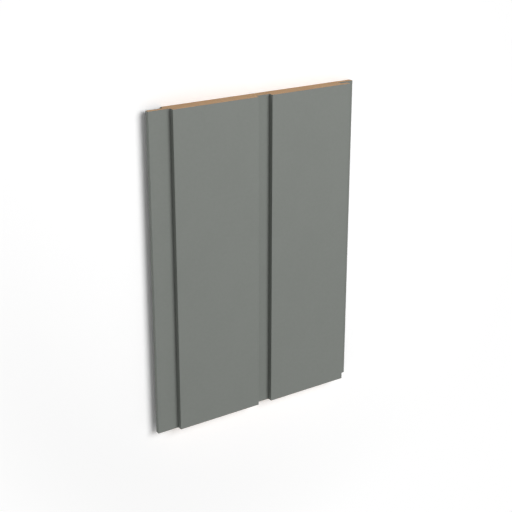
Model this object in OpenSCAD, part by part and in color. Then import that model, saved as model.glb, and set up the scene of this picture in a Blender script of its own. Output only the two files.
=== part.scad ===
// Grooved MDF wall panel with an interlocking side joint, lying on its back.
// X runs across the planks with the tongue at -X, Y along the grooves and Z out of the face.
// The origin is at the middle of the back.

/* [Board] */
// Length of the piece, along the grooves
panel_l = 374; // [100:1:3050]
// Thickness of the board
panel_t = 18; // [16:0.5:25]

/* [Face] */
// Number of raised planks across the panel
plank_count = 2; // [1:1:6]
// Width of each raised plank
plank_w = 108; // [40:1:160]
// Width of the flat recess beside each plank
recess_w = 18; // [8:1:30]
// Depth of the recesses below the plank faces
recess_d = 6; // [4:0.25:7]

/* [Joint] */
// Thickness of the tongue, whose front is level with the recesses
tongue_t = 5.5; // [4:0.25:6]
// How far the tongue enters the next panel's slot
tongue_in = 8; // [4:0.5:12]
// How far the back lip stands out beyond the front lip
back_lip_out = 13; // [4:0.5:20]
// Play between the tongue and each side of the slot
side_play = 0.25; // [0.1:0.05:0.5]
// Play ahead of the tongue in the slot, and ahead of the back lip in the rebate
end_play = 0.5; // [0.2:0.1:1]

/* [Edges] */
// Radius of the eased arrises along the panel
arris_r = 0.3; // [0.1:0.05:1]

/* [Hidden] */
$fn = 48;
paint_colour = [0.51, 0.525, 0.505];

// Places across the panel, from the tongue's end
tongue_w = tongue_in + recess_w;
plank_pitch = plank_w + recess_w;
face_w = tongue_in + plank_count * plank_pitch;
panel_w = face_w + back_lip_out;
rebate_w = tongue_in + back_lip_out + end_play;
slot_floor_x = face_w - tongue_in - end_play;

// Levels above the back face
recess_z = panel_t - recess_d;
tongue_back_z = recess_z - tongue_t;
slot_front_z = recess_z + side_play;
slot_back_z = tongue_back_z - side_play;

// How far a cutter starts outside the face that it cuts
cut_over = 0.1;

// One plank of the outline, with the recess floor's far corner unless it is the last
function plank_points(i) =
    let (left = tongue_w + i * plank_pitch, right = left + plank_w)
    [
        [left, recess_z],
        [left, panel_t],
        [right, panel_t],
        if (i < plank_count - 1) [right, recess_z],
    ];

// Clockwise from the foot of the rebate behind the tongue, X across and Y up from the back
section_points = [
    [rebate_w, 0],
    [rebate_w, tongue_back_z],
    [0, tongue_back_z],
    [0, recess_z],
    for (i = [0 : plank_count - 1]) each plank_points(i),
    [face_w, slot_front_z],
    [slot_floor_x, slot_front_z],
    [slot_floor_x, slot_back_z],
    [panel_w, slot_back_z],
    [panel_w, 0],
];

function unit(v) = v / norm(v);

// What an arc takes off an outer corner at the origin; inward points into the material
module corner_nick(inward, r) {
    side = r + cut_over;
    difference() {
        translate(inward * (r - side / 2))
            square(side, center = true);
        translate(inward * r)
            circle(r);
    }
}

// Clockwise outline of straight runs at right angles, its outer corners eased to arcs
module eased_outline(points, r) {
    count = len(points);
    difference() {
        polygon(points);
        for (i = [0 : count - 1]) {
            back = unit(points[(i + count - 1) % count] - points[i]);
            ahead = unit(points[(i + 1) % count] - points[i]);
            if (cross(back, ahead) > 0)
                translate(points[i])
                    corner_nick(back + ahead, r);
        }
    }
}

module wall_panel() {
    color(paint_colour)
        rotate([90, 0, 0])
            linear_extrude(panel_l, center = true)
                translate([-panel_w / 2, 0])
                    eased_outline(section_points, arris_r);
}

wall_panel();
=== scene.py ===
# Grooved MDF wall panel lying on its back: paint all over, with bare board on the two sawn ends
import math

import bpy
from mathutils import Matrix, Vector


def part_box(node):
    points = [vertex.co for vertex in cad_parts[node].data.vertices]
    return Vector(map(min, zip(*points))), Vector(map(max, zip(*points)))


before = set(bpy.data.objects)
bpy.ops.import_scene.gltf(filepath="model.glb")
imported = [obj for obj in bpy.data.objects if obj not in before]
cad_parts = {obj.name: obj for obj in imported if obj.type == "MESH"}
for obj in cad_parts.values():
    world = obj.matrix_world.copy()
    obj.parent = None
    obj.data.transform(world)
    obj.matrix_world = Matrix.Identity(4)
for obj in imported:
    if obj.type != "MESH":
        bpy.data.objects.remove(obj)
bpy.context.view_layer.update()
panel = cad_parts["wall_panel"]
panelLow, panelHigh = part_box("wall_panel")
print("frame loaded, panel size", [round(side, 4) for side in panelHigh - panelLow])


class Wire:
    # an output socket; arithmetic on it adds Math nodes to its tree
    def __init__(self, bench, socket):
        self.bench = bench
        self.socket = socket

    def math(self, operation, first, second=0.0):
        return self.bench.add("ShaderNodeMath", {"operation": operation}, {0: first, 1: second})

    def __add__(self, other):
        return self.math("ADD", self, other)

    def __radd__(self, other):
        return self.math("ADD", other, self)

    def __sub__(self, other):
        return self.math("SUBTRACT", self, other)

    def __rsub__(self, other):
        return self.math("SUBTRACT", other, self)

    def __mul__(self, other):
        return self.math("MULTIPLY", self, other)

    def __rmul__(self, other):
        return self.math("MULTIPLY", other, self)

    def __lt__(self, other):
        return self.math("LESS_THAN", self, other)

    def __gt__(self, other):
        return self.math("GREATER_THAN", self, other)

    def __abs__(self):
        return self.math("ABSOLUTE", self)

    def smaller(self, other):
        return self.math("MINIMUM", self, other)

    def ripple(self, pitch):   # a sine wave along a length
        return self.math("SINE", self * (2 * math.pi / pitch))

    def ramp(self, start, end):   # 0 at start, 1 at end, smooth between
        return self.bench.add("ShaderNodeMapRange", {"interpolation_type": "SMOOTHSTEP"},
                              {"Value": self, "From Min": start, "From Max": end})


class NodeBench:
    # builds one node tree
    def __init__(self, owner):
        owner.use_nodes = True
        self.tree = owner.node_tree
        self.tree.nodes.clear()

    def add(self, kind, settings=None, sockets=None, out=0):
        node = self.tree.nodes.new(kind)
        for name, value in (settings or {}).items():
            setattr(node, name, value)
        for name, value in (sockets or {}).items():
            if isinstance(value, Wire):
                self.tree.links.new(value.socket, node.inputs[name])
            else:
                node.inputs[name].default_value = value
        return Wire(self, node.outputs[out]) if node.outputs else None

    def split(self, vector):   # its X, Y and Z
        parts = self.add("ShaderNodeSeparateXYZ", {}, {0: vector}).socket.node
        return [Wire(self, output) for output in parts.outputs]

    def mixColour(self, factor, first, second):
        return self.add("ShaderNodeMix", {"data_type": "RGBA"}, {0: factor, 6: first, 7: second}, out=2)

    def noise(self, place, size, detail=2.0, rough=0.5):   # size is the grain in metres
        return self.add("ShaderNodeTexNoise", {}, {"Vector": place, "Scale": 1 / size,
                                                   "Detail": detail, "Roughness": rough})

    def stretch(self, place, factors):
        return self.add("ShaderNodeVectorMath", {"operation": "MULTIPLY"}, {0: place, 1: factors})


def sRgb(red, green, blue):   # 0 to 255 as a screen shows it, to linear light
    def linear(level):
        level /= 255
        return level / 12.92 if level <= 0.04045 else ((level + 0.055) / 1.055) ** 2.4
    return linear(red), linear(green), linear(blue), 1.0


mm = 0.001

# a range says where in a pattern its colour starts and where it is full, and a share how much of it shows
panelLook = {
    "paint": sRgb(124, 128, 123),
    "paintThin": sRgb(122, 126, 121),      # where less of it was sprayed
    "thinRange": (0.75, 1.3),
    "cloud": 40 * mm,                      # size of the uneven patches in the coat
    "speck": 3.5 * mm,
    "paintRoughness": 0.62,
    "speckRoughness": 0.12,                # how far it varies from speck to speck
    "cutRoughness": 0.05,                  # how much rougher it is on the moulded faces
    "stipple": 0.9 * mm,                   # orange peel
    "stippleHeight": 0.016 * mm,
    "wave": 14 * mm,
    "waveHeight": 0.03 * mm,
    "knifePitch": 1.8 * mm,                # ripples that the moulder's knives leave along the panel
    "knifeHeight": 0.005 * mm,
    "nap": 0.22 * mm,                      # fibres raised under the paint on the moulded faces
    "napHeight": 0.01 * mm,
    "faceMargin": 0.1 * mm,                # moulded faces lie further than this from the front and back

    "board": sRgb(201, 162, 122),
    "boardRoughness": 0.92,
    "fibre": sRgb(166, 128, 89),
    "fibreLength": 1.6 * mm,
    "fibreFlatness": 3.2,                  # how many times longer than thick
    "fibreRange": (0.35, 0.75),
    "fibreShare": 0.55,
    "fibreHeight": 0.05 * mm,
    "fleck": sRgb(220, 189, 150),
    "fleckLength": 0.8 * mm,
    "fleckRange": (0.62, 0.74),
    "fleckShare": 0.6,
    "dustLength": 0.4 * mm,                # the finest fibres
    "dustRange": (0.55, 0.8),
    "dustShare": 0.35,
    "dustRelief": 0.6,                     # against the long fibres'
    "skin": 1.4 * mm,                      # denser, darker board next to each face
    "skinShare": 0.18,
    "sawPitch": 1.3 * mm,                  # upright marks of the saw
    "sawLean": 0.14,
    "sawDrift": 2.6 * mm,                  # how far they wander
    "sawDriftSize": 9 * mm,
    "sawPatchSize": 5 * mm,                # they are deeper in some places than in others
    "sawPatchRange": (0.3, 0.7),
    "sawRange": (0.2, 1.0),
    "sawShare": 0.12,
    "sawHeight": 0.02 * mm,
    "chip": 0.15 * mm,                     # how far the saw breaks the paint at the ends
    "chipSize": 0.8 * mm,
    "chipRange": (0.5, 0.7),
    "endMargin": 0.01 * mm,                # what is this near an end's plane is on the end
}


def sprayedPaint(bench, look, place, along, cut):
    # cut is 1 on the faces that the moulder made, which take the coat less smoothly
    cloud = bench.noise(place, look["cloud"], detail=3.0)
    speck = bench.noise(place, look["speck"], detail=3.0, rough=0.6)
    colour = bench.mixColour((cloud + speck).ramp(*look["thinRange"]), look["paint"], look["paintThin"])
    uneven = (speck - 0.5) * look["speckRoughness"]   # a noise's middle is 0.5
    roughness = look["paintRoughness"] + uneven + cut * look["cutRoughness"]
    stipple = bench.noise(place, look["stipple"]) * look["stippleHeight"]
    wave = bench.noise(place, look["wave"], detail=1.0) * look["waveHeight"]
    nap = bench.noise(place, look["nap"]) * look["napHeight"]
    knife = along.ripple(look["knifePitch"]) * look["knifeHeight"]
    return colour, roughness, stipple + wave + (nap + knife) * cut


def sawnBoard(bench, look, place, across, height):
    # fibres lie flat in the board, so its section shows them as short level streaks
    lying = bench.stretch(place, (1.0, 1.0, look["fibreFlatness"]))
    fibre = bench.noise(lying, look["fibreLength"], detail=4.0, rough=0.65)
    fleck = bench.noise(lying, look["fleckLength"])
    dust = bench.noise(lying, look["dustLength"], detail=3.0, rough=0.7)
    streaks = fibre.ramp(*look["fibreRange"]) * look["fibreShare"]
    flecks = fleck.ramp(*look["fleckRange"]) * look["fleckShare"]
    specks = dust.ramp(*look["dustRange"]) * look["dustShare"]
    colour = bench.mixColour(streaks, look["board"], look["fibre"])
    colour = bench.mixColour(flecks, colour, look["fleck"])
    colour = bench.mixColour(specks, colour, look["fibre"])

    skin = 1.0 - height.smaller(panelHigh.z - height).ramp(0.0, look["skin"])
    drift = bench.noise(place, look["sawDriftSize"], detail=1.0) * look["sawDrift"]
    patch = bench.noise(place, look["sawPatchSize"], detail=1.0).ramp(*look["sawPatchRange"])
    saw = (across + height * look["sawLean"] + drift).ripple(look["sawPitch"]) * patch
    darker = skin * look["skinShare"] + saw.ramp(*look["sawRange"]) * look["sawShare"]
    colour = bench.mixColour(darker, colour, look["fibre"])
    return colour, (fibre + dust * look["dustRelief"]) * look["fibreHeight"] - saw * look["sawHeight"]


def paintedBoard(look):
    material = bpy.data.materials.new("painted_mdf")
    bench = NodeBench(material)
    place = bench.add("ShaderNodeTexCoord", out="Object")
    across, along, height = bench.split(place)

    # bare board shows on the sawn ends, and beside them where the saw has chipped the coat
    chips = bench.noise(place, look["chipSize"], detail=3.0).ramp(*look["chipRange"]) * look["chip"]
    bare = (panelHigh.y - abs(along) - chips) < look["endMargin"]
    cut = (height > look["faceMargin"]) * (height < panelHigh.z - look["faceMargin"])

    coat, coatRoughness, coatHeight = sprayedPaint(bench, look, place, along, cut)
    wood, woodHeight = sawnBoard(bench, look, place, across, height)
    relief = coatHeight * (1.0 - bare) + woodHeight * bare
    surface = bench.add("ShaderNodeBsdfPrincipled", {}, {
        "Base Color": bench.mixColour(bare, coat, wood),
        "Roughness": coatRoughness * (1.0 - bare) + bare * look["boardRoughness"],
        "Normal": bench.add("ShaderNodeBump", {}, {"Strength": 1.0, "Distance": 1.0, "Height": relief}),
        "IOR": 1.5,
    })
    bench.add("ShaderNodeOutputMaterial", {}, {"Surface": surface})
    return material


panel.data.materials.clear()
panel.data.materials.append(paintedBoard(panelLook))
print("panel painted")

stageSettings = {
    "floorSide": 9.0,
    "floorGap": 0.05 * mm,     # between it and the panel's back
    "floor": 0.98,
    "seenFloor": 1.125,    # what the camera sees of it, before its shadows
    "fadeStart": 0.26,     # beyond the panel and its shadows it fades to plain white
    "fadeEnd": 0.45,
    "footGlow": 0.54,      # bounce from the studio in front of the lower end
    "footBlend": 0.3,      # how far to each side of straight up it fades in
    "sideGlow": 0.22,      # low bounce from the tongue's side
    "sideStart": 0.2,      # how far out from straight up it starts
    "keyPower": 53.6,
    "keySize": 1.9,
    "keyDistance": 2.6,
    "keyTurn": 18.0,       # degrees to the slot's side of square
    "keyLift": 23.0,       # degrees towards the upper end
}


def paleFloor(settings):
    half = settings["floorSide"] / 2
    mesh = bpy.data.meshes.new("floor")
    corners = [Vector((x, y, -settings["floorGap"]))
               for x, y in ((-half, -half), (half, -half), (half, half), (-half, half))]
    mesh.from_pydata(corners, [], [range(4)])
    floor = bpy.data.objects.new("floor", mesh)
    bpy.context.scene.collection.objects.link(floor)

    material = bpy.data.materials.new("floor")
    bench = NodeBench(material)
    place = bench.add("ShaderNodeTexCoord", out="Object")
    far = bench.add("ShaderNodeVectorMath", {"operation": "LENGTH"}, {0: place}, out="Value")
    plain, near = (bench.add("ShaderNodeBsdfDiffuse", {}, {"Color": (shade, shade, shade, 1.0)})
                   for shade in (settings["floor"], settings["seenFloor"]))
    white = bench.add("ShaderNodeEmission", {}, {"Color": (1, 1, 1, 1), "Strength": 1.0})
    shown = bench.add("ShaderNodeMixShader", {}, {0: far.ramp(settings["fadeStart"], settings["fadeEnd"]),
                                                  1: near, 2: white})
    seen = bench.add("ShaderNodeLightPath", out="Is Camera Ray")
    both = bench.add("ShaderNodeMixShader", {}, {0: seen, 1: plain, 2: shown})
    bench.add("ShaderNodeOutputMaterial", {}, {"Surface": both})
    mesh.materials.append(material)


def softSky(settings):
    world = bpy.data.worlds.new("studio")
    bpy.context.scene.world = world
    bench = NodeBench(world)
    across, along, _ = bench.split(bench.add("ShaderNodeTexCoord", out="Generated"))
    foot = (0.0 - along).ramp(-settings["footBlend"], settings["footBlend"])
    side = (0.0 - across).ramp(settings["sideStart"], 1.0)
    glow = foot * settings["footGlow"] + side * settings["sideGlow"]
    seen = bench.add("ShaderNodeLightPath", out="Is Camera Ray")
    strength = seen * (1.0 - glow) + glow      # plain white to the camera, the glow to everything else
    sky = bench.add("ShaderNodeBackground", {}, {"Color": (1, 1, 1, 1), "Strength": strength})
    bench.add("ShaderNodeOutputWorld", {}, {"Surface": sky})


def keyLamp(settings):
    lamp = bpy.data.lights.new("key", "AREA")
    lamp.shape = "DISK"
    lamp.size = settings["keySize"]
    lamp.energy = settings["keyPower"]
    key = bpy.data.objects.new("key", lamp)
    key.rotation_euler = (-math.radians(settings["keyLift"]), math.radians(settings["keyTurn"]), 0)
    key.location = key.rotation_euler.to_matrix() @ Vector((0, 0, settings["keyDistance"]))
    bpy.context.scene.collection.objects.link(key)


paleFloor(stageSettings)
softSky(stageSettings)
keyLamp(stageSettings)
print("stage set")

cameraSettings = {
    "sensor": 36.0,        # in mm, as the lens
    "lens": 80.0,
    "turn": 34.2,          # degrees to the tongue's side of square
    "lift": 20.375,        # degrees towards the upper end
    "distance": 1.2949,
    "aim": (-0.0065, 0.0038, 0.018),
}


def lookDown(settings):
    shot = bpy.data.cameras.new("camera")
    shot.sensor_width = settings["sensor"]
    shot.lens = settings["lens"]
    camera = bpy.data.objects.new("camera", shot)
    camera.rotation_euler = (-math.radians(settings["lift"]), -math.radians(settings["turn"]), 0)
    back = camera.rotation_euler.to_matrix() @ Vector((0, 0, 1))
    camera.location = Vector(settings["aim"]) + back * settings["distance"]
    bpy.context.scene.collection.objects.link(camera)
    bpy.context.scene.camera = camera


lookDown(cameraSettings)
bpy.context.scene.view_settings.view_transform = "Standard"
print("camera placed")
